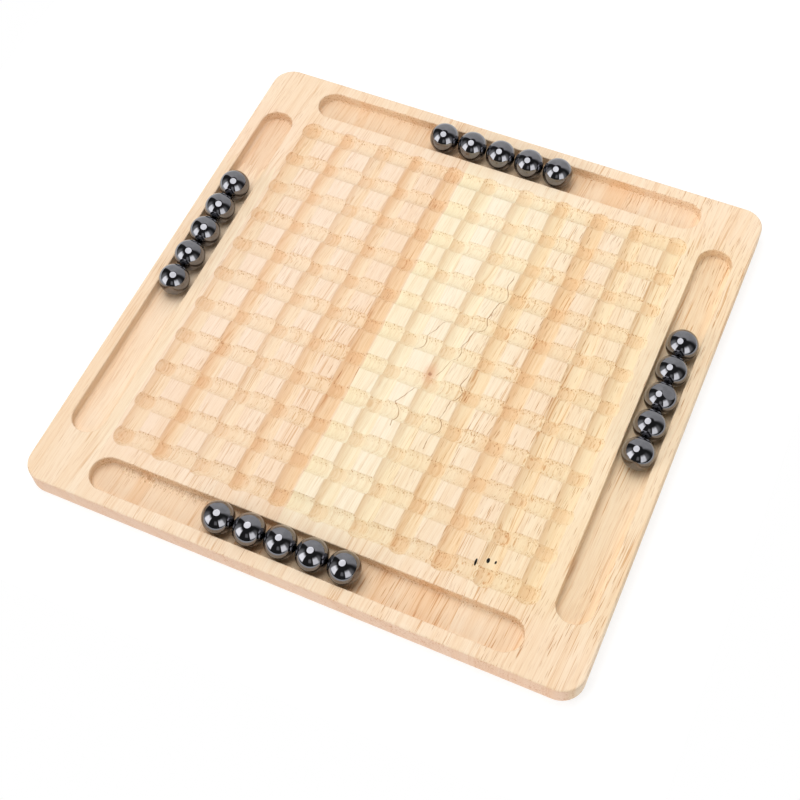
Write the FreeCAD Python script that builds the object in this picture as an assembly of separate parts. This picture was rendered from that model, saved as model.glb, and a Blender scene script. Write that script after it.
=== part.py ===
import FreeCAD, Part
import math
import os

# Square wooden game board with a lattice of shallow dimples joined by grooves, four storage
# trays round it, and twenty loose polished balls lying in the trays.
# Frame: millimetres, +Z up, origin on the underside at the centre of the board,
# +X to the player's right, +Y away from the player.

# Board blank
BOARD_SIDE = 300.0
BOARD_THICK = 13.0
CORNER_R = 12.0
EDGE_ROUND = 1.0

# Playing lattice: 11 x 11 dimples joined by ball-nose grooves
PITCH = 22.0
LINES = 11
CUTTER_R = 9.0
GROOVE_DEPTH = 1.65
DIMPLE_DEPTH = 2.85

# Storage trays, one along each side
TRAY_OFFSET = 133.1
TRAY_WIDTH = 18.8
TRAY_LENGTH = 233.6
TRAY_DEPTH = 6.4
TRAY_FLOOR_R = 1.2
TRAY_RIM_EASE = 0.35

# Glued panel: joints between the staves, as X positions
SEAM_LEFT = -117.2
SEAM_MIDDLE = -16.4
SEAM_RIGHT = 81.9

# Finger joint that lengthens the left stave
FINGER_JOINT_Y = 74.0
FINGER_LENGTH = 8.6
FINGER_PITCH = 4.2
FINGER_TIP = 0.7

# Balls
BALL_D = 17.0
BALL_FLAT_D = 7.8
BALL_FLAT_NORMAL = (0.44, 0.06, 0.90)

# Each tray holds a row of balls that nearly touch: the middle ball's place along the tray,
# the distance from ball to ball, and how far the row lies from the tray's centre line.
# Far and near trays run along X, left and right trays along Y.
BALLS_PER_ROW = 5
FAR_ROW = (-1.7, 17.3, -0.3)
NEAR_ROW = (-9.2, 17.1, -0.5)
LEFT_ROW = (20.1, 17.75, -0.2)
RIGHT_ROW = (14.4, 17.3, 0.5)
FLAT_BALL = 3

V = FreeCAD.Vector
UP = V(0, 0, 1)


def prism(wire, z_low, z_high):
    """Solid between two heights with the given flat outline at z = 0."""
    face = Part.Face(wire)
    face.translate(V(0, 0, z_low))
    return face.extrude(V(0, 0, z_high - z_low))


def rounded_square(side, radius):
    """Outline of a square with rounded corners, centred on the origin."""
    h = side / 2.0
    c = h - radius
    d = radius * math.sin(math.pi / 4.0)
    edges = []
    for turn in range(4):
        spin = FreeCAD.Rotation(UP, 90.0 * turn)
        start = spin.multVec(V(h, -c, 0))
        end = spin.multVec(V(h, c, 0))
        middle = spin.multVec(V(c + d, c + d, 0))
        corner_end = spin.multVec(V(c, h, 0))
        edges.append(Part.LineSegment(start, end).toShape())
        edges.append(Part.Arc(end, middle, corner_end).toShape())
    return Part.Wire(edges)


def board_blank():
    """The panel before any routing, with its outer edges eased."""
    blank = prism(rounded_square(BOARD_SIDE, CORNER_R), 0.0, BOARD_THICK)
    rims = [e for e in blank.Edges if abs(e.BoundBox.ZMax - e.BoundBox.ZMin) < 1e-6]
    return blank.makeFillet(EDGE_ROUND, rims)


def stadium(length, width):
    """Slot outline with full-radius ends, lying along X and centred on the origin."""
    r = width / 2.0
    c = length / 2.0 - r
    top = Part.LineSegment(V(c, r, 0), V(-c, r, 0)).toShape()
    left = Part.Arc(V(-c, r, 0), V(-c - r, 0, 0), V(-c, -r, 0)).toShape()
    bottom = Part.LineSegment(V(-c, -r, 0), V(c, -r, 0)).toShape()
    right = Part.Arc(V(c, -r, 0), V(c + r, 0, 0), V(c, r, 0)).toShape()
    return Part.Wire([top, left, bottom, right])


def tray_cutter(turn):
    """Everything routed away for one tray: a slot with a radiused floor and an eased rim."""
    floor = BOARD_THICK - TRAY_DEPTH
    slot = prism(stadium(TRAY_LENGTH, TRAY_WIDTH), floor, BOARD_THICK + 2.0)
    floor_edges = [e for e in slot.Edges if e.BoundBox.ZMax < floor + 1e-6]
    slot = slot.makeFillet(TRAY_FLOOR_R, floor_edges)
    low = stadium(TRAY_LENGTH, TRAY_WIDTH)
    low.translate(V(0, 0, BOARD_THICK - TRAY_RIM_EASE))
    high = stadium(TRAY_LENGTH + 4 * TRAY_RIM_EASE, TRAY_WIDTH + 4 * TRAY_RIM_EASE)
    high.translate(V(0, 0, BOARD_THICK + TRAY_RIM_EASE))
    rim = Part.makeLoft([low, high], True, True)
    cutter = slot.fuse(rim)
    cutter.translate(V(0, TRAY_OFFSET, 0))
    cutter.rotate(V(0, 0, 0), UP, 90.0 * turn)
    return cutter


def lattice_positions():
    """Centre-line positions of the grooves, the same along X and along Y."""
    first = -PITCH * (LINES - 1) / 2.0
    return [first + PITCH * k for k in range(LINES)]


def groove(direction, offset):
    """One ball-nose groove from the first dimple to the last."""
    half = PITCH * (LINES - 1) / 2.0
    z = BOARD_THICK - GROOVE_DEPTH + CUTTER_R
    if direction == "x":
        return Part.makeCylinder(CUTTER_R, 2 * half, V(-half, offset, z), V(1, 0, 0))
    return Part.makeCylinder(CUTTER_R, 2 * half, V(offset, -half, z), V(0, 1, 0))


def lattice_cutters(x_low, x_high):
    """Groove and dimple cutters that reach a stave between two X positions."""
    lines = lattice_positions()
    near = [x for x in lines if x_low - CUTTER_R < x < x_high + CUTTER_R]
    if not near:
        return [], []
    grooves = [groove("x", y) for y in lines]
    grooves += [groove("y", x) for x in near]
    z = BOARD_THICK - DIMPLE_DEPTH + CUTTER_R
    dimples = [Part.makeSphere(CUTTER_R, V(x, y, z)) for x in near for y in lines]
    return grooves, dimples


def slab(x_low, x_high, y_low=-BOARD_SIDE, y_high=BOARD_SIDE):
    """Tall box used to pick one stave out of the panel."""
    return Part.makeBox(x_high - x_low, y_high - y_low, 4 * BOARD_THICK,
                        V(x_low, y_low, -BOARD_THICK))


def finger_line():
    """Zigzag of the finger joint across the left stave, from its left to its right edge."""
    points = []
    x = -BOARD_SIDE / 2.0 - 5.0
    low = FINGER_JOINT_Y - FINGER_LENGTH / 2.0
    high = FINGER_JOINT_Y + FINGER_LENGTH / 2.0
    while x < SEAM_LEFT + FINGER_PITCH:
        points.append(V(x, low, 0))
        points.append(V(x + FINGER_TIP, low, 0))
        points.append(V(x + FINGER_PITCH / 2.0, high, 0))
        points.append(V(x + FINGER_PITCH / 2.0 + FINGER_TIP, high, 0))
        x += FINGER_PITCH
    return points


def far_side_of_joint():
    """Region on the far side of the finger joint."""
    line = finger_line()
    corners = [V(line[-1].x, BOARD_SIDE, 0), V(line[0].x, BOARD_SIDE, 0)]
    outline = line + corners + [line[0]]
    return prism(Part.makePolygon(outline), -BOARD_THICK, 3 * BOARD_THICK)


def routed(blank_piece, x_low, x_high, trays):
    """Cut the trays, the grooves and the dimples into one piece of the panel."""
    piece = blank_piece.cut(trays)
    grooves, dimples = lattice_cutters(x_low, x_high)
    if grooves:
        piece = piece.cut(grooves)
        piece = piece.cut(dimples)
    return piece


def single_solid(shape, name):
    """The one solid of a finished piece; anything else is an error."""
    solids = shape.Solids
    if len(solids) != 1 or not solids[0].isValid():
        raise RuntimeError(name + " isn't one valid solid: " + str(len(solids)))
    return solids[0]


def panel_pieces():
    """The five wooden pieces that are glued edge to edge and end to end."""
    blank = board_blank()
    trays = [tray_cutter(turn) for turn in range(4)]
    edge = BOARD_SIDE / 2.0 + 1.0
    left = blank.common(slab(-edge, SEAM_LEFT))
    far = far_side_of_joint()
    spans = {
        "left_stave_far_block": (left.common(far), -edge, SEAM_LEFT),
        "left_stave_near_block": (left.cut(far), -edge, SEAM_LEFT),
        "centre_left_stave": (blank.common(slab(SEAM_LEFT, SEAM_MIDDLE)), SEAM_LEFT, SEAM_MIDDLE),
        "centre_right_stave": (blank.common(slab(SEAM_MIDDLE, SEAM_RIGHT)), SEAM_MIDDLE, SEAM_RIGHT),
        "right_stave": (blank.common(slab(SEAM_RIGHT, edge)), SEAM_RIGHT, edge),
    }
    pieces = {}
    for name, (piece, x_low, x_high) in spans.items():
        pieces[name] = single_solid(routed(piece, x_low, x_high, trays), name)
    return pieces


def ball(x, y):
    """One ball resting on a tray floor."""
    z = BOARD_THICK - TRAY_DEPTH + BALL_D / 2.0
    return Part.makeSphere(BALL_D / 2.0, V(x, y, z))


def ball_with_flat(x, y):
    """A ball with a small ground flat facing up and to the side."""
    r = BALL_D / 2.0
    whole = ball(x, y)
    normal = V(*BALL_FLAT_NORMAL)
    normal.normalize()
    reach = math.sqrt(r * r - (BALL_FLAT_D / 2.0) ** 2)
    centre = V(x, y, BOARD_THICK - TRAY_DEPTH + r)
    cap = Part.makeCylinder(r, r, centre + normal * reach, normal)
    return whole.cut(cap)


def row_places(row):
    """Place of each ball along its tray, from the low end to the high end."""
    middle, spacing, _ = row
    first = middle - spacing * (BALLS_PER_ROW - 1) / 2.0
    return [first + spacing * k for k in range(BALLS_PER_ROW)]


def tray_balls():
    """All twenty balls by name, numbered from the left or from the far end."""
    balls = {}
    for name, row, offset in (("far", FAR_ROW, TRAY_OFFSET), ("near", NEAR_ROW, -TRAY_OFFSET)):
        for number, x in enumerate(row_places(row), 1):
            balls["%s_tray_ball_%d" % (name, number)] = ball(x, offset + row[2])
    for name, row, offset in (("left", LEFT_ROW, -TRAY_OFFSET), ("right", RIGHT_ROW, TRAY_OFFSET)):
        for number, y in enumerate(reversed(row_places(row)), 1):
            flat = name == "right" and number == FLAT_BALL
            make = ball_with_flat if flat else ball
            balls["%s_tray_ball_%d" % (name, number)] = make(offset + row[2], y)
    return balls


def main():
    os.makedirs("parts", exist_ok=True)
    parts = panel_pieces()
    parts.update(tray_balls())
    for name, shape in parts.items():
        solid = single_solid(shape, name)
        solid.exportStep("parts/" + name + ".step")
        print(name, round(solid.Volume, 1), len(solid.Faces))


main()
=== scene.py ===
import math

import bpy
from mathutils import Matrix, Vector

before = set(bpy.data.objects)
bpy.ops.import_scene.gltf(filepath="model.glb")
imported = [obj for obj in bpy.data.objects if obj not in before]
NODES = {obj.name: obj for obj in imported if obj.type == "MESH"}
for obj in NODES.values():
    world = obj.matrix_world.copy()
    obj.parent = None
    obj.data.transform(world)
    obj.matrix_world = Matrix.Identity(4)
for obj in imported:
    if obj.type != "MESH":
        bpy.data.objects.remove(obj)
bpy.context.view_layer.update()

# Square wooden game board with a lattice of dimples and grooves, four trays and twenty loose
# polished balls. The shapes are the CAD nodes; this script gives them materials and a studio.
# The camera, lights and table are in metres. Sizes in the materials are in mm. The origin is
# under the middle of the board, with X to the player's right and Y away from the player.

# ---------------------------------------------------------------- camera
CAMERA_AT = Vector((0.1795, -0.3559, 0.6184))
CAMERA_FORWARD = Vector((-0.23911, 0.45280, -0.85895))
CAMERA_UP = Vector((-0.33237, 0.79300, 0.51056))
CAMERA_LENS = 61.635
CAMERA_SENSOR = 36.0
CAMERA_CLIP = (0.02, 20.0)


def make_camera():
    data = bpy.data.cameras.new("camera")
    data.lens = CAMERA_LENS
    data.sensor_width = CAMERA_SENSOR
    data.clip_start, data.clip_end = CAMERA_CLIP
    cam = bpy.data.objects.new("camera", data)
    bpy.context.scene.collection.objects.link(cam)
    forward = CAMERA_FORWARD.normalized()
    right = forward.cross(CAMERA_UP).normalized()
    up = right.cross(forward)
    turn = Matrix((right, up, -forward)).transposed()
    cam.matrix_world = Matrix.Translation(CAMERA_AT) @ turn.to_4x4()
    bpy.context.scene.camera = cam


# ---------------------------------------------------------------- node helpers
class Graph:
    """Short ways to make shader nodes in one tree."""

    def __init__(self, tree):
        self.tree = tree
        tree.nodes.clear()

    def node(self, kind, **values):
        made = self.tree.nodes.new(kind)
        for key, value in values.items():
            setattr(made, key, value)
        return made

    def put(self, socket, value):
        if isinstance(value, bpy.types.NodeSocket):
            self.tree.links.new(value, socket)
        else:
            socket.default_value = value

    def math(self, op, a, b=0.0):
        made = self.node("ShaderNodeMath", operation=op)
        self.put(made.inputs[0], a)
        self.put(made.inputs[1], b)
        return made.outputs[0]

    def plus(self, a, b):
        return self.math("ADD", a, b)

    def minus(self, a, b):
        return self.math("SUBTRACT", a, b)

    def times(self, a, b):
        return self.math("MULTIPLY", a, b)

    def squares(self, a, b):
        """The sum of two numbers' squares."""
        return self.plus(self.times(a, a), self.times(b, b))

    def vec(self, op, a, b):
        made = self.node("ShaderNodeVectorMath", operation=op)
        self.put(made.inputs[0], a)
        self.put(made.inputs["Scale"] if op == "SCALE" else made.inputs[1], b)
        return made.outputs[0]

    def join(self, x, y, z):
        made = self.node("ShaderNodeCombineXYZ")
        for socket, value in zip(made.inputs, (x, y, z)):
            self.put(socket, value)
        return made.outputs[0]

    def split(self, vector):
        made = self.node("ShaderNodeSeparateXYZ")
        self.put(made.inputs[0], vector)
        return made.outputs

    def noise(self, vector, scale=1.0, detail=2.0, rough=0.5, out="Fac"):
        made = self.node("ShaderNodeTexNoise", noise_dimensions="3D")
        self.put(made.inputs["Vector"], vector)
        self.put(made.inputs["Scale"], scale)
        self.put(made.inputs["Detail"], detail)
        self.put(made.inputs["Roughness"], rough)
        return made.outputs[out]

    def cells(self, vector):
        """Distance to the nearest of a scatter of points, about one in each unit cube."""
        made = self.node("ShaderNodeTexVoronoi", voronoi_dimensions="3D", feature="F1")
        self.put(made.inputs["Vector"], vector)
        self.put(made.inputs["Scale"], 1.0)
        self.put(made.inputs["Randomness"], 1.0)
        return made.outputs["Distance"]

    def remap(self, value, low, high, to_low=0.0, to_high=1.0, smooth=True):
        """A fade from one result to another as the value goes from low to high."""
        made = self.node("ShaderNodeMapRange", clamp=True)
        made.interpolation_type = "SMOOTHSTEP" if smooth else "LINEAR"
        for socket, v in zip(made.inputs, (value, low, high, to_low, to_high)):
            self.put(socket, v)
        return made.outputs[0]

    def ramp(self, value, stops):
        """A curve through (value, colour) stops; a plain number stands for a grey."""
        low, high = stops[0][0], stops[-1][0]
        made = self.node("ShaderNodeValToRGB")
        self.put(made.inputs[0], self.remap(value, low, high, smooth=False))
        points = made.color_ramp.elements
        for number, (at, result) in enumerate(stops):
            place = (at - low) / (high - low)
            if number == 0:
                point = points[0]
            elif number == len(stops) - 1:
                point = points[len(points) - 1]
            else:
                point = points.new(place)
            point.color = rgba(result) if isinstance(result, tuple) else (result, result, result, 1)
        return made.outputs[0]

    def level(self, value, stops):
        """A plain number read off a curve whose results may be above one."""
        top = max(result for _, result in stops)
        return self.times(self.ramp(value, [(a, r / top) for a, r in stops]), top)

    def mix(self, factor, a, b, blend="MIX"):
        made = self.node("ShaderNodeMix", data_type="RGBA", blend_type=blend)
        self.put(made.inputs["Factor"], factor)
        self.put(made.inputs["A"], a if isinstance(a, bpy.types.NodeSocket) else rgba(a))
        self.put(made.inputs["B"], b if isinstance(b, bpy.types.NodeSocket) else rgba(b))
        return made.outputs["Result"]

    def tint(self, colour, share, by):
        """The colour multiplied by a tint, as far as the share says."""
        return self.mix(share, colour, by, "MULTIPLY")

    def finish(self, output, shader):
        """Link the finished shader to the tree's output node."""
        self.put(self.node(output).inputs["Surface"], shader.outputs[0])


def rgba(colour):
    return (*colour[:3], 1.0)


def linear(r, g, b):
    """Linear colour from ordinary 0 to 255 screen values."""
    def one(v):
        v /= 255.0
        return v / 12.92 if v <= 0.04045 else ((v + 0.055) / 1.055) ** 2.4
    return (one(r), one(g), one(b))


def spread(g, vector, size):
    """The vector in units of a feature's size along each axis."""
    return g.vec("MULTIPLY", vector, tuple(1 / side for side in size))


def place_in_mm(g):
    """Place on the board at rest, in mm; it stays with a piece that moves."""
    return g.vec("SCALE", g.node("ShaderNodeTexCoord").outputs["Object"], 1000.0)


def new_material(name):
    material = bpy.data.materials.new(name)
    material.use_nodes = True
    return material, Graph(material.node_tree)


def use_material(piece, material):
    piece.data.materials.clear()
    piece.data.materials.append(material)


# ---------------------------------------------------------------- tones of the staves
# A fade is written as the value where it starts, the value where it ends, the result before
# and the result after. With only two numbers it goes from 0 to 1.

# Wood tones are given as they should look on screen. The light on the board is a little
# stronger than that needs, so the base colour is the tone times these shares.
PIGMENT = (0.83, 0.862, 0.885)


def tone(r, g, b):
    return tuple(share * v for share, v in zip(PIGMENT, linear(r, g, b)))


# For each stave: tones across its width (mm from the middle of the board), where the tree's
# heart was (x, z in mm), the width of its growth bands, how much the grain leans, how many
# pores it has across its width, how much warmer its trays are, and its seed. One stave's tray
# floor is made lighter with painted light, to make up for the shade it lies in.
STAVES = {
    "left_stave_far_block": dict(
        tones=[(-150, (250, 219, 189)), (-132, (251, 222, 193)), (-117, (252, 224, 196))],
        heart=(-92.0, -60.0), band=7.0, lean=-0.05, pores=[(-150, 0.6), (-117, 0.5)],
        trays=[(-150, 0.7), (-117, 0.7)], seed=3.0),
    "left_stave_near_block": dict(
        tones=[(-150, (250, 221, 190)), (-132, (251, 225, 196)), (-117, (252, 229, 199))],
        heart=(-260.0, -50.0), band=9.0, lean=-0.03, pores=[(-150, 0.4), (-117, 0.35)],
        trays=[(-150, 0.0), (-117, 0.0)], painted_floor_light=0.07, seed=11.0),
    "centre_left_stave": dict(
        tones=[(-117, (251, 223, 194)), (-100, (252, 225, 200)), (-62, (252, 226, 200)),
               (-34, (251, 223, 195)), (-16, (249, 220, 190))],
        heart=(-180.0, -85.0), band=9.0, lean=-0.05,
        pores=[(-117, 0.5), (-60, 0.6), (-30, 0.85), (-16, 0.95)],
        trays=[(-117, 0.5), (-16, 0.9)], seed=23.0),
    "centre_right_stave": dict(
        tones=[(-16, (254, 239, 209)), (-3, (254, 239, 213)), (12, (253, 236, 209)),
               (34, (252, 234, 205)), (47, (251, 230, 200)), (66, (250, 226, 197)),
               (82, (249, 223, 192))],
        heart=(-60.0, -110.0), band=8.0, lean=-0.07,
        pores=[(-16, 0.1), (6, 0.25), (26, 0.45), (44, 0.95), (82, 1.0)],
        trays=[(-16, 0.8), (50, 0.85), (66, 1.0), (82, 1.0)], seed=37.0),
    "right_stave": dict(
        tones=[(82, (250, 226, 194)), (110, (251, 227, 193)), (132, (250, 225, 191)),
               (150, (249, 222, 188))],
        heart=(240.0, 10.0), band=6.0, lean=-0.04, pores=[(82, 1.0), (150, 1.0)],
        trays=[(82, 0.0), (150, 0.2)], seed=51.0),
}
BOARD_TOP = 13.0

# The overhead light hangs over the left half and nearer to the player, so the wood's colour
# is raised to the right (x, factor) and away from the player (y, factor) to make up for it.
SIDE_LIFT = [(-150.0, 0.965), (-40.0, 0.98), (150.0, 1.07)]
DEPTH_LIFT = [(-150.0, 0.985), (0.0, 1.0), (150.0, 1.04)]

# Towards the far and near edges all staves fade to one tone. The cream strip shows it most.
RIM_TONE = (252, 225, 195)
RIM_FADE = (108.0, 130.0, 0.0, 0.85)


def stave_tone(g, mm, grain, tones):
    """Plain colour of a stave, before any grain."""
    x, y, _ = g.split(mm)
    colour = g.ramp(g.split(grain)[0], [(at, tone(*t)) for at, t in tones])
    to_rim = g.remap(g.math("ABSOLUTE", y), *RIM_FADE)
    colour = g.mix(to_rim, colour, tone(*RIM_TONE))
    return g.vec("SCALE", colour, g.times(g.level(x, SIDE_LIFT), g.level(y, DEPTH_LIFT)))


# ---------------------------------------------------------------- grain
# Size of a slow drift and of a small wobble in the grain, and how far each one bends it
DRIFT_SIZE = (70, 240, 70)
DRIFT_REACH = (16.0, 0.0, 10.0)
WOBBLE_SIZE = (9, 45, 9)
WOBBLE_REACH = (2.2, 0.0, 1.4)
HALVES = (0.5, 0.5, 0.5)


def grain_space(g, mm, lean, seed):
    """Place in the wood, bent by a slow drift and a small wobble, with the grain along Y."""
    drift = g.noise(g.vec("ADD", spread(g, mm, DRIFT_SIZE), (seed, 0, seed)), out="Color")
    drift = g.vec("MULTIPLY", g.vec("SUBTRACT", drift, HALVES), DRIFT_REACH)
    wobble = g.noise(g.vec("ADD", spread(g, mm, WOBBLE_SIZE), (0, seed, 0)),
                     detail=1.0, out="Color")
    wobble = g.vec("MULTIPLY", g.vec("SUBTRACT", wobble, HALVES), WOBBLE_REACH)
    gx, gy, gz = g.split(g.vec("ADD", g.vec("ADD", mm, drift), wobble))
    return g.join(g.plus(gx, g.times(gy, lean)), gy, gz)


def ring_radius(g, grain, heart):
    """Distance from the heart of the tree, which runs along the grain."""
    gx, _, gz = g.split(grain)
    return g.math("SQRT", g.squares(g.minus(gx, heart[0]), g.minus(gz, heart[1])))


# Lengths of the broad and fine bands along the grain, size of the clouds, fibres in each mm
BROAD_LONG = 700
FINE_LONG = 220
CLOUD_SIZE = (40, 90, 40)
FIBRES_PER_MM = (1.7, 1 / 18, 1.7)

# How each pattern's noise turns into a share of its tint, and the tint
BROAD_FADE = (0.42, 0.70, 0.0, 0.6)
BROAD_TINT = (0.96, 0.88, 0.79)
CLOUD_FADE = (0.40, 0.70, 0.0, 0.5)
CLOUD_TINT = (0.975, 0.935, 0.88)
FINE_FADE = (0.48, 0.76, 0.0, 0.6)
FINE_TINT = (0.90, 0.79, 0.68)
FIBRE_FADE = (0.42, 0.75, 0.0, 0.6)
FIBRE_TINT = (0.90, 0.79, 0.67)


def growth_bands(g, colour, mm, grain, heart, band, seed):
    """Broad and fine bands round the heart of the tree, fibres, and a slow cloudiness."""
    radius = ring_radius(g, grain, heart)
    along = g.split(grain)[1]
    broad = g.noise(g.join(g.math("DIVIDE", radius, band), g.times(along, 1 / BROAD_LONG), seed),
                    detail=3.0, rough=0.6)
    fine = g.noise(g.join(radius, g.times(along, 1 / FINE_LONG), seed), rough=0.6)
    fibre = g.noise(g.vec("MULTIPLY", grain, FIBRES_PER_MM), detail=3.0, rough=0.65)
    cloud = g.noise(g.vec("ADD", spread(g, mm, CLOUD_SIZE), (0, 0, seed)))
    colour = g.tint(colour, g.remap(broad, *BROAD_FADE), BROAD_TINT)
    colour = g.tint(colour, g.remap(cloud, *CLOUD_FADE), CLOUD_TINT)
    colour = g.tint(colour, g.remap(fine, *FINE_FADE), FINE_TINT)
    colour = g.tint(colour, g.remap(fibre, *FIBRE_FADE), FIBRE_TINT)
    return colour, fibre


# Pores are thin dark tubes along the grain, one in each cell of a layer: width and length of
# the cell, the share of it that the tube fills, and how dark the tube is. Each tube is darkest
# over the inner PORE_CORE of its width. They come in patches.
PORES_MAIN = (1.2, 19.0, 0.20, 1.0)
PORES_SHORT = (0.85, 12.0, 0.24, 0.6)
PORES_LONG = (1.6, 30.0, 0.16, 0.9)
PORE_CORE = 0.55
PORE_PATCH_SIZE = (11, 60, 11)
PORE_PATCH_FADE = (0.36, 0.60, 0.2, 1.0)
PORE_TINT = (0.60, 0.37, 0.22)
PORE_SHARE = 0.85

# Combs are bundles of fine lines side by side. Every stave has at least COMB_LEAST of them.
COMB_SIZE = (0.75, 34, 0.75)
COMB_FADE = (0.56, 0.68)
BUNDLE_SIZE = (8, 90, 8)
BUNDLE_FADE = (0.42, 0.60, 0.1, 1.0)
COMB_LEAST = 0.1
COMB_TINT = (0.78, 0.58, 0.42)
COMB_SHARE = 0.85


def tubes(g, grain, layer, shift):
    """Mask of one layer of pores."""
    wide, long, size, darkness = layer
    place = spread(g, g.vec("ADD", grain, shift), (wide, long, wide))
    return g.remap(g.cells(place), size * PORE_CORE, size, darkness, 0.0)


def vessels(g, grain, pores, seed):
    """Masks of the pores and of the combs, both fuller where the stave has more pores."""
    amount = g.ramp(g.split(grain)[0], pores)
    patch = g.noise(g.vec("ADD", spread(g, grain, PORE_PATCH_SIZE), (seed, seed, 0)))
    patch = g.times(g.remap(patch, *PORE_PATCH_FADE), amount)
    dark = tubes(g, grain, PORES_MAIN, (0, 0, seed))
    dark = g.math("MAXIMUM", dark, tubes(g, grain, PORES_SHORT, (seed, 40, 7)))
    dark = g.math("MAXIMUM", dark, tubes(g, grain, PORES_LONG, (5, seed, 0)))
    comb = g.noise(g.vec("ADD", spread(g, grain, COMB_SIZE), (0, seed, 0)), detail=1.0)
    bundle = g.noise(g.vec("ADD", spread(g, grain, BUNDLE_SIZE), (seed, 0, 9)), detail=1.0)
    comb = g.times(g.remap(comb, *COMB_FADE), g.remap(bundle, *BUNDLE_FADE))
    return g.times(dark, patch), g.times(comb, g.plus(amount, COMB_LEAST))


# ---------------------------------------------------------------- marks of the cutter, and painted shade in the cuts
# Half widths of the lattice and of the area that takes in the trays too, the height above
# which wood was routed, and how soft these limits are
LATTICE_EDGE = 118.5
OUTER_EDGE = 147.5
ROUTED_ABOVE = BOARD_TOP - 8.0
LIMIT_SOFT = 0.5

# Tints of surfaces left by the cutter, by depth in mm below the sanded top: the lattice (grooves
# 1.65 deep, dimples 2.85 deep), where the darkening with depth is partly the cut wood's own
# warmer colour and partly painted shade in the hollows, then the trays (walls, then floors at 6.4)
LATTICE_TINTS_AND_SHADE = [(0.0, (1.0, 1.0, 1.0)), (0.1, (1.0, 1.0, 1.0)), (0.35, (0.995, 0.985, 0.93)),
                 (1.6, (0.985, 0.965, 0.89)), (2.0, (0.97, 0.91, 0.805)), (2.9, (0.94, 0.845, 0.72))]
TRAY_TINTS = [(0.0, (1.0, 1.0, 1.0)), (0.3, (1.0, 1.0, 1.0)), (0.7, (1.0, 0.95, 0.865)),
              (5.6, (1.0, 0.95, 0.865)), (6.3, (0.985, 0.93, 0.865)), (6.5, (0.985, 0.93, 0.865)),
              (6.8, (1.0, 1.0, 1.0)), (13.0, (1.0, 1.0, 1.0))]
# Depths over which the painted light on a tray floor fades in
FLOOR_STARTS = (5.6, 6.3)

# Redder bands of growth that the cutter laid bare: x of the middle, half width, strength
WARM_BANDS = [(-90.7, 3.6, 0.85), (-46.5, 3.4, 0.8), (-22.0, 5.0, 0.9), (43.5, 5.0, 0.75),
              (66.0, 6.5, 1.0)]
WARM_TINT = (0.975, 0.90, 0.82)
WARM_BY_DEPTH = (0.05, 0.8, 0.25, 1.0)
BAND_CORE = 0.6
BAND_SPREAD = 1.3
SWAY_LONG = 30
SWAY_REACH = 7.0

# Painted shade on the walls of the grooves, by depth and by the X or Y part of the way they
# face: -1 in Y is towards the player, 1 in X is to the right
WALL_BY_DEPTH = (1.5, 2.1, 0.3, 1.0)
TOWARDS_PLAYER_FADE = (-0.60, -0.10, 0.75, 0.0)
TOWARDS_PLAYER_SHADE = (0.93, 0.85, 0.75)
FACING_RIGHT_FADE = (0.05, 0.45, 0.0, 0.65)
FACING_RIGHT_SHADE = (0.96, 0.84, 0.75)

# End grain shows on walls that run across the staves: more on those at the far side of a cut,
# which face the player, than on those at its near side
FAR_WALL_FADE = (-0.45, -0.10, 1.0, 0.0)
NEAR_WALL_FADE = (0.10, 0.50, 0.0, 0.45)
DOT_SIZE = (1.1, 1.6, 1.1)
DOT_FADE = (0.19, 0.31, 0.95, 0.0)
DOT_TINT = (0.66, 0.49, 0.36)
SPECKLES_PER_MM = (1.3, 0.9, 1.3)
SPECKLE_FADE = (0.48, 0.70, 0.0, 0.35)
SPECKLE_TINT = (0.80, 0.66, 0.53)
# Painted shade: a darker line just below the lip of walls that face the player
LIP_FADE = (-0.52, -0.34, 1.0, 0.0)
LIP_BY_DEPTH = (0.15, 0.75, 1.0, 0.0)
LIP_SHARE = 0.12
LIP_SHADE = (0.74, 0.62, 0.50)
END_FACE_FADE = (0.6, 0.95)
END_FACE_TINT = (0.99, 0.89, 0.90)


def cut_zones(g, x, y, z):
    """Masks of the lattice, of it and the trays together, and of the faces outside both."""
    rim = g.math("MAXIMUM", g.math("ABSOLUTE", x), g.math("ABSOLUTE", y))
    routed = g.remap(z, ROUTED_ABOVE - LIMIT_SOFT, ROUTED_ABOVE + LIMIT_SOFT)
    lattice = g.remap(rim, LATTICE_EDGE - LIMIT_SOFT, LATTICE_EDGE + LIMIT_SOFT, 1.0, 0.0)
    inside = g.remap(rim, OUTER_EDGE - LIMIT_SOFT, OUTER_EDGE + LIMIT_SOFT, 1.0, 0.0)
    outside = g.remap(rim, OUTER_EDGE - LIMIT_SOFT, OUTER_EDGE + LIMIT_SOFT)
    return g.times(lattice, routed), g.times(inside, routed), outside


def tint_and_shade_by_depth(g, colour, x, depth, lattice, inside, trays, painted_floor_light):
    """Warmer tints in grooves, dimples and trays, with painted shade deeper in the lattice and
    painted light on one tray floor.
    """
    border = g.minus(inside, lattice)
    # painted shade: the lattice is darker and warmer the deeper it lies, partly the cut wood's own
    # colour
    colour = g.tint(colour, lattice, g.ramp(depth, LATTICE_TINTS_AND_SHADE))
    colour = g.tint(colour, g.times(border, g.ramp(x, trays)), g.ramp(depth, TRAY_TINTS))
    # painted light: one tray floor is brightened to make up for the shade it lies in
    if painted_floor_light:
        floor_light_gain = g.times(g.remap(depth, *FLOOR_STARTS, 0.0, painted_floor_light), border)
        colour = g.vec("SCALE", colour, g.plus(floor_light_gain, 1.0))
    return colour


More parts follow.
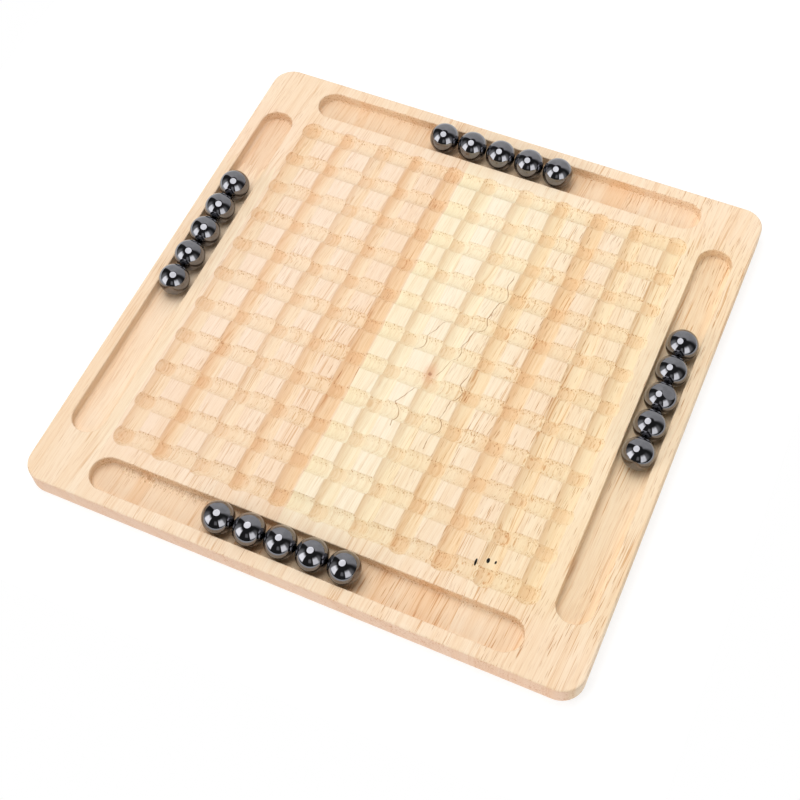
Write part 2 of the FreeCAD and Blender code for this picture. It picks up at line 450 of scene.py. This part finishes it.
def add_warm_bands(g, colour, x, y, depth, inside, seed):
    """Redder bands along the grain, strongest where the wood was cut."""
    cut = g.times(g.remap(depth, *WARM_BY_DEPTH), inside)
    sway = g.noise(g.join(0.0, g.times(y, 1 / SWAY_LONG), seed))
    swayed = g.plus(x, g.times(g.minus(sway, 0.5), SWAY_REACH))
    for middle, half, amount in WARM_BANDS:
        gap = g.math("ABSOLUTE", g.minus(swayed, middle))
        band = g.times(g.remap(gap, half * BAND_CORE, half * BAND_SPREAD, amount, 0.0), cut)
        colour = g.tint(colour, band, WARM_TINT)
    return colour


def shade_walls(g, colour, nx, ny, depth, lattice):
    """Painted shade: walls of the grooves are darker and warmer where they face the player, and where
    they face right.
    """
    deep = g.remap(depth, *WALL_BY_DEPTH)
    towards = g.times(g.remap(ny, *TOWARDS_PLAYER_FADE), g.times(lattice, deep))
    right = g.times(g.remap(nx, *FACING_RIGHT_FADE), lattice)
    # painted shade on walls facing the player and on walls facing right
    colour = g.tint(colour, towards, TOWARDS_PLAYER_SHADE)
    return g.tint(colour, right, FACING_RIGHT_SHADE)


def add_end_grain(g, colour, mm, ny, depth, lattice, inside, seed):
    """Dots where the cutter crossed the pores, fine speckle, and a line of painted shade at the lip
    of walls that face the player.
    """
    far_walls = g.remap(ny, *FAR_WALL_FADE)
    near_walls = g.remap(ny, *NEAR_WALL_FADE)
    across = g.times(g.plus(far_walls, near_walls), inside)
    dots = g.cells(g.vec("ADD", spread(g, mm, DOT_SIZE), (seed, 0, 0)))
    dots = g.times(g.remap(dots, *DOT_FADE), across)
    speckle = g.noise(g.vec("MULTIPLY", mm, SPECKLES_PER_MM), rough=0.7)
    speckle = g.times(g.remap(speckle, *SPECKLE_FADE), across)
    lip = g.times(g.remap(ny, *LIP_FADE), g.remap(depth, *LIP_BY_DEPTH))
    # painted shade along the lip
    colour = g.tint(colour, g.times(lip, g.times(lattice, LIP_SHARE)), LIP_SHADE)
    colour = g.tint(colour, speckle, SPECKLE_TINT)
    return g.tint(colour, dots, DOT_TINT), across


def cutter_marks(g, colour, mm, normal, trays, painted_floor_light, seed):
    """What the cutter did to the wood's look, painted shade in the grooves and dimples and on their
    walls, and the sawn ends of the staves.
    """
    x, y, z = g.split(mm)
    nx, ny, _ = g.split(normal)
    depth = g.minus(BOARD_TOP, z)
    lattice, inside, outside = cut_zones(g, x, y, z)
    colour = tint_and_shade_by_depth(g, colour, x, depth, lattice, inside, trays, painted_floor_light)
    colour = add_warm_bands(g, colour, x, y, depth, inside, seed)
    colour = shade_walls(g, colour, nx, ny, depth, lattice)
    colour, across = add_end_grain(g, colour, mm, ny, depth, lattice, inside, seed)
    end = g.times(g.remap(g.math("ABSOLUTE", ny), *END_FACE_FADE), outside)
    return g.tint(colour, end, END_FACE_TINT), across


# ---------------------------------------------------------------- single marks
# Dark growth lines on the cream strip, each from (x, y) to (x, y). They are the upper edges of
# sheets in the wood, which move right by LINE_TILT for each mm of depth.
LINES = [((36.5, 58.0), (34.5, 30.0)), ((34.0, 30.0), (27.0, 3.0)), ((27.0, 3.0), (20.0, -14.5)),
         ((14.5, 18.5), (7.5, 4.0)), ((7.5, 4.0), (4.5, -5.5)), ((15.5, -26.0), (9.5, -38.0)),
         ((9.5, -38.0), (12.5, -52.0)), ((38.5, -4.0), (35.5, -24.0)), ((35.5, -24.0), (33.0, -58.0))]
LINE_TILT = 1.5
LINE_HALF = 0.25
LINE_CORE = 0.5
LINE_SPREAD = 1.5
LINE_END_SOFT = 1.0
LINE_WAVE = 6.0
LINE_REACH = 2.2
LINE_PATCH_SIZE = (5, 5, 5)
LINE_PATCH_FADE = (0.3, 0.62, 0.35, 0.85)
LINE_TINT = (0.46, 0.27, 0.16)

KNOT_AT = (18.6, -15.8)
KNOT_SHORTENED = 0.6
KNOT_UNEVEN = 1.6
KNOT_NOISE_PER_MM = 0.8
KNOT_HALO = (236, 178, 138)
KNOT_HALO_FADE = (0.8, 5.5, 0.6, 0.0)
KNOT_HEART = (168, 104, 70)
KNOT_HEART_FADE = (0.2, 1.1, 0.7, 0.0)

# Where fibres were torn out along the far wall of the near tray: x range and y range
TORN_X = (-110.0, -42.0)
TORN_Y = (-129.5, -123.2)
TORN_LEAST = 2.5
TORN_FADE_LEFT = 8.0
TORN_FADE_RIGHT = 12.0
TORN_BELOW = (BOARD_TOP - 0.4, BOARD_TOP - 0.8)
RAGGED_PER_MM = (1 / 3.0, 0.0, 0.0)
RAGGED_RANGE = (0.35, 0.65)
WHISKERS_PER_MM = (2.4, 0.5, 0.5)
BROWN_WHISKER = (178, 128, 80)
BROWN_FADE = (0.48, 0.34, 0.0, 0.7)
PALE_WHISKER = (255, 232, 196)
PALE_FADE = (0.54, 0.66, 0.0, 0.8)

# Small black flecks: x, y, half width, half length
FLECKS = [(81.3, -105.0, 0.55, 1.65), (86.4, -101.6, 0.75, 1.3), (90.1, -101.2, 0.5, 0.85)]
FLECK_TONE = (10, 7, 5)
FLECK_EDGE = (1.0, 1.35, 1.0, 0.0)
FLECK_ABOVE = (BOARD_TOP - 4.0, BOARD_TOP - 3.0)


def segment(g, across, along, start, end, half):
    """Mask of a thin straight line between two (x, y) points that lie on different y."""
    slope = (end[0] - start[0]) / (end[1] - start[1])
    middle = g.plus(start[0], g.times(g.minus(along, start[1]), slope))
    gap = g.math("ABSOLUTE", g.minus(across, middle))
    low, high = sorted((start[1], end[1]))
    inside = g.times(g.remap(along, low - LINE_END_SOFT, low),
                     g.remap(along, high, high + LINE_END_SOFT, 1.0, 0.0))
    return g.times(g.remap(gap, half * LINE_CORE, half * LINE_SPREAD, 1.0, 0.0), inside)


def add_growth_lines(g, mm, colour):
    """The fine dark growth lines that wander over the cream strip."""
    x, y, z = g.split(mm)
    wander = g.noise(g.join(2.0, g.math("DIVIDE", y, LINE_WAVE), 5.0), detail=1.0)
    sheet = g.minus(x, g.times(g.minus(BOARD_TOP, z), LINE_TILT))
    sheet = g.plus(sheet, g.times(g.minus(wander, 0.5), LINE_REACH))
    lines = 0.0
    for start, end in LINES:
        lines = g.math("MAXIMUM", lines, segment(g, sheet, y, start, end, LINE_HALF))
    patch = g.noise(spread(g, mm, LINE_PATCH_SIZE), detail=1.0)
    return g.tint(colour, g.times(lines, g.remap(patch, *LINE_PATCH_FADE)), LINE_TINT)


def add_knot(g, mm, colour):
    """The small pin knot: a brown heart in a warm halo, longer along the grain."""
    x, y, _ = g.split(mm)
    dx = g.minus(x, KNOT_AT[0])
    dy = g.times(g.minus(y, KNOT_AT[1]), KNOT_SHORTENED)
    uneven = g.times(g.minus(g.noise(mm, KNOT_NOISE_PER_MM), 0.5), KNOT_UNEVEN)
    reach = g.plus(g.math("SQRT", g.squares(dx, dy)), uneven)
    colour = g.mix(g.remap(reach, *KNOT_HALO_FADE), colour, tone(*KNOT_HALO))
    return g.mix(g.remap(reach, *KNOT_HEART_FADE), colour, tone(*KNOT_HEART))


def knot_and_lines(g, mm, colour):
    return add_knot(g, mm, add_growth_lines(g, mm, colour))


def torn_fibres(g, mm, colour):
    """Pale and brown whiskers along the foot of one tray wall."""
    x, y, z = g.split(mm)
    ragged = g.noise(g.vec("MULTIPLY", mm, RAGGED_PER_MM))
    reach = g.remap(ragged, *RAGGED_RANGE, TORN_Y[1] - TORN_LEAST, TORN_Y[0])
    at_foot = g.times(g.math("GREATER_THAN", y, reach), g.math("LESS_THAN", y, TORN_Y[1]))
    along = g.times(g.remap(x, TORN_X[0], TORN_X[0] + TORN_FADE_LEFT),
                    g.remap(x, TORN_X[1] - TORN_FADE_RIGHT, TORN_X[1], 1.0, 0.0))
    zone = g.times(g.times(along, at_foot), g.remap(z, *TORN_BELOW))
    whisker = g.noise(g.vec("MULTIPLY", mm, WHISKERS_PER_MM), rough=0.7)
    brown = g.times(zone, g.remap(whisker, *BROWN_FADE))
    pale = g.times(zone, g.remap(whisker, *PALE_FADE))
    return g.mix(pale, g.mix(brown, colour, tone(*BROWN_WHISKER)), tone(*PALE_WHISKER))


def add_flecks(g, mm, colour):
    x, y, z = g.split(mm)
    on_top = g.remap(z, *FLECK_ABOVE)
    for at_x, at_y, wide, long in FLECKS:
        dx = g.math("DIVIDE", g.minus(x, at_x), wide)
        dy = g.math("DIVIDE", g.minus(y, at_y), long)
        spot = g.times(g.remap(g.squares(dx, dy), *FLECK_EDGE), on_top)
        colour = g.mix(spot, colour, tone(*FLECK_TONE))
    return colour


# ---------------------------------------------------------------- wood
BUMP_STRENGTH = 0.4
BUMP_HEIGHT = 0.00012
FIBRE_RELIEF = 0.35
WOOD_ROUGHNESS = (0.0, 1.2, 0.55, 0.8)
WOOD_SPECULAR = 0.25
EXTRAS = {"centre_right_stave": knot_and_lines, "centre_left_stave": torn_fibres}


def finish_wood(g, colour, fibre, dark, across):
    """Satin wood with a faint relief, rougher in its pores and on end grain."""
    bump = g.node("ShaderNodeBump")
    bump.inputs["Strength"].default_value = BUMP_STRENGTH
    bump.inputs["Distance"].default_value = BUMP_HEIGHT
    g.put(bump.inputs["Height"], g.minus(g.times(fibre, FIBRE_RELIEF), dark))
    shader = g.node("ShaderNodeBsdfPrincipled")
    g.put(shader.inputs["Base Color"], colour)
    g.put(shader.inputs["Roughness"], g.remap(g.plus(dark, across), *WOOD_ROUGHNESS))
    shader.inputs["Specular IOR Level"].default_value = WOOD_SPECULAR
    g.put(shader.inputs["Normal"], bump.outputs[0])
    g.finish("ShaderNodeOutputMaterial", shader)


def wood_material(name, tones, heart, band, lean, pores, trays, seed, painted_floor_light=0.0):
    """Wood of one stave, solid right through, so cuts show the same grain as the top."""
    material, g = new_material("wood_" + name)
    mm = place_in_mm(g)
    normal = g.node("ShaderNodeNewGeometry").outputs["Normal"]
    grain = grain_space(g, mm, lean, seed)
    colour = stave_tone(g, mm, grain, tones)
    colour, fibre = growth_bands(g, colour, mm, grain, heart, band, seed)
    dark, comb = vessels(g, grain, pores, seed)
    colour = g.tint(colour, g.times(comb, COMB_SHARE), COMB_TINT)
    colour = g.tint(colour, g.times(dark, PORE_SHARE), PORE_TINT)
    colour, across = cutter_marks(g, colour, mm, normal, trays, painted_floor_light, seed)
    if name in EXTRAS:
        colour = EXTRAS[name](g, mm, colour)
    finish_wood(g, add_flecks(g, mm, colour), fibre, dark, across)
    return material


# ---------------------------------------------------------------- balls
BALL_TONES = ((0.178, 0.178, 0.192), (0.208, 0.207, 0.222))
BALL_CLOUDS_PER_MM = 0.25
BALL_CLOUD_FADE = (0.35, 0.65)
PITS_PER_MM = 1.1
PIT_FADE = (0.03, 0.10, 1.0, 0.0)
PIT_TONE = (0.05, 0.05, 0.05)
PIT_SHARE = 0.6
SMUDGES_PER_MM = 0.6
BALL_ROUGHNESS = (0.35, 0.75, 0.006, 0.03)


def ball_material():
    """Polished dark mineral with faint clouds, a few fine pits and smudges in its gloss."""
    material, g = new_material("polished_hematite")
    mm = place_in_mm(g)
    cloud = g.noise(g.vec("SCALE", mm, BALL_CLOUDS_PER_MM), detail=3.0, rough=0.6)
    colour = g.mix(g.remap(cloud, *BALL_CLOUD_FADE), *BALL_TONES)
    pits = g.remap(g.cells(g.vec("SCALE", mm, PITS_PER_MM)), *PIT_FADE)
    colour = g.mix(g.times(pits, PIT_SHARE), colour, PIT_TONE)
    smudge = g.noise(g.vec("SCALE", mm, SMUDGES_PER_MM), detail=4.0, rough=0.65)
    shader = g.node("ShaderNodeBsdfPrincipled")
    g.put(shader.inputs["Base Color"], colour)
    shader.inputs["Metallic"].default_value = 1.0
    g.put(shader.inputs["Roughness"], g.remap(smudge, *BALL_ROUGHNESS))
    g.finish("ShaderNodeOutputMaterial", shader)
    return material


# ---------------------------------------------------------------- lights
# The disk that makes the small round highlight on each ball, and a high lamp from the far
# left that no reflection shows
DISH_AT = (-0.135, -0.065, 0.72)
DISH_AIM = (-0.135, -0.065, 0.0)
DISH_WIDE = 0.60
DISH_RADIANCE = 3.4
KEY_AT = (-0.35, 0.45, 2.0)
KEY_AIM = (0.0, 0.0, 0.0)
KEY_WIDE = 1.6
KEY_RADIANCE = 1.75


def area_light(name, at, aim, width, radiance, shape):
    data = bpy.data.lights.new(name, "AREA")
    data.shape = shape
    data.size = width
    area = math.pi * width * width / 4 if shape == "DISK" else width * width
    data.energy = radiance * math.pi * area
    light = bpy.data.objects.new(name, data)
    bpy.context.scene.collection.objects.link(light)
    light.location = at
    direction = Vector(aim) - Vector(at)
    light.rotation_euler = direction.to_track_quat("-Z", "Y").to_euler()
    light.visible_camera = False
    return light


def make_lights():
    area_light("overhead_dish", DISH_AT, DISH_AIM, DISH_WIDE, DISH_RADIANCE, "DISK")
    key = area_light("high_key", KEY_AT, KEY_AIM, KEY_WIDE, KEY_RADIANCE, "SQUARE")
    key.visible_glossy = False


# ---------------------------------------------------------------- studio
# The studio round the board: patches of light by compass direction (degrees, 0 away from the
# player, 90 to the right) and by height above the horizon (degrees). Each has its two sides
# and how soft they are, its lower and upper edge with the softness of each, and its radiance.
STUDIO = {
    "left_box": dict(sides=(-150, -114), soft=(4, 10), low=(-4, 14), high=(41, 22), glow=3.0),
    "left_box_spill": dict(sides=(-150, -92), soft=(4, 26), low=(-2, 16), high=(40, 26), glow=0.55),
    "right_box": dict(sides=(113, 147), soft=(14, 4), low=(-4, 14), high=(39, 22), glow=2.4),
    "right_box_spill": dict(sides=(92, 147), soft=(26, 4), low=(-2, 16), high=(40, 26), glow=0.4),
    "paper_sweep": dict(sides=(-60, 58), soft=(6, 26), low=(-60, 20), high=(66, 10), glow=0.80),
    "sweep_bright_side": dict(sides=(-60, 10), soft=(5, 40), low=(-60, 20), high=(66, 14), glow=0.14),
    "camera_stand": dict(sides=(158, 176), soft=(6, 6), low=(12, 12), high=(36, 12), glow=0.45),
}
AMBIENT = 0.05
# Matt surfaces get this share of the studio's light, and mirror reflections get all of it.
SHARE_FOR_MATT = 0.85


def between(g, value, edges, soft):
    """One between two edges, falling to nothing over each edge's own softness."""
    rise = g.remap(value, edges[0] - soft[0] / 2, edges[0] + soft[0] / 2)
    fall = g.remap(value, edges[1] - soft[1] / 2, edges[1] + soft[1] / 2, 1.0, 0.0)
    return g.times(rise, fall)


def studio_glow(g):
    """Radiance of the studio in each direction."""
    x, y, z = g.split(g.node("ShaderNodeTexCoord").outputs["Generated"])
    degree = 180 / math.pi
    compass = g.times(g.math("ARCTAN2", x, y), degree)
    height = g.times(g.math("ARCSINE", z), degree)
    glow = AMBIENT
    for patch in STUDIO.values():
        low, high = patch["low"], patch["high"]
        across = between(g, compass, patch["sides"], patch["soft"])
        upright = between(g, height, (low[0], high[0]), (low[1], high[1]))
        glow = g.plus(glow, g.times(g.times(across, upright), patch["glow"]))
    return glow


def make_world():
    """The studio lights the scene, and the camera sees plain white behind it."""
    world = bpy.data.worlds.new("studio")
    bpy.context.scene.world = world
    world.use_nodes = True
    g = Graph(world.node_tree)
    path = g.node("ShaderNodeLightPath").outputs
    share = g.remap(path["Is Diffuse Ray"], 0.0, 1.0, 1.0, SHARE_FOR_MATT, smooth=False)
    glow = g.times(studio_glow(g), share)
    back = g.node("ShaderNodeBackground")
    back.inputs["Color"].default_value = (1, 1, 1, 1)
    g.put(back.inputs["Strength"], g.remap(path["Is Camera Ray"], 0.0, 1.0, glow, 1.0, smooth=False))
    g.finish("ShaderNodeOutputWorld", back)


# ---------------------------------------------------------------- table
# The white table: left, right, near and far edges, and how far it lies below the board
TABLE = (-0.32, 0.20, -0.20, 0.90)
TABLE_GAP = 0.0001
TABLE_GREY = 0.3
TABLE_GLOW = 0.75
TABLE_ROUGHNESS = 0.8
TABLE_SPECULAR = 0.1


def table_material():
    """Grey that takes the board's shadow, with a glow that brings the rest up to white."""
    material, g = new_material("floor_white")
    shader = g.node("ShaderNodeBsdfPrincipled")
    shader.inputs["Base Color"].default_value = (TABLE_GREY, TABLE_GREY, TABLE_GREY, 1)
    shader.inputs["Roughness"].default_value = TABLE_ROUGHNESS
    shader.inputs["Specular IOR Level"].default_value = TABLE_SPECULAR
    shader.inputs["Emission Color"].default_value = (1, 1, 1, 1)
    shader.inputs["Emission Strength"].default_value = TABLE_GLOW
    g.finish("ShaderNodeOutputMaterial", shader)
    return material


def make_floor():
    mesh = bpy.data.meshes.new("floor")
    left, right, near, far = TABLE
    corners = [(left, near, 0), (right, near, 0), (right, far, 0), (left, far, 0)]
    mesh.from_pydata(corners, [], [(0, 1, 2, 3)])
    floor = bpy.data.objects.new("floor", mesh)
    bpy.context.scene.collection.objects.link(floor)
    floor.location.z = -TABLE_GAP
    use_material(floor, table_material())


def set_look():
    view = bpy.context.scene.view_settings
    view.view_transform = "Standard"
    view.look = "None"
    view.exposure = 0.0
    view.gamma = 1.0


def main():
    make_camera()
    set_look()
    make_world()
    make_lights()
    make_floor()
    for name, facts in STAVES.items():
        use_material(NODES[name], wood_material(name, **facts))
    dark = ball_material()
    for name, node in NODES.items():
        if "_ball_" in name:
            use_material(node, dark)


main()
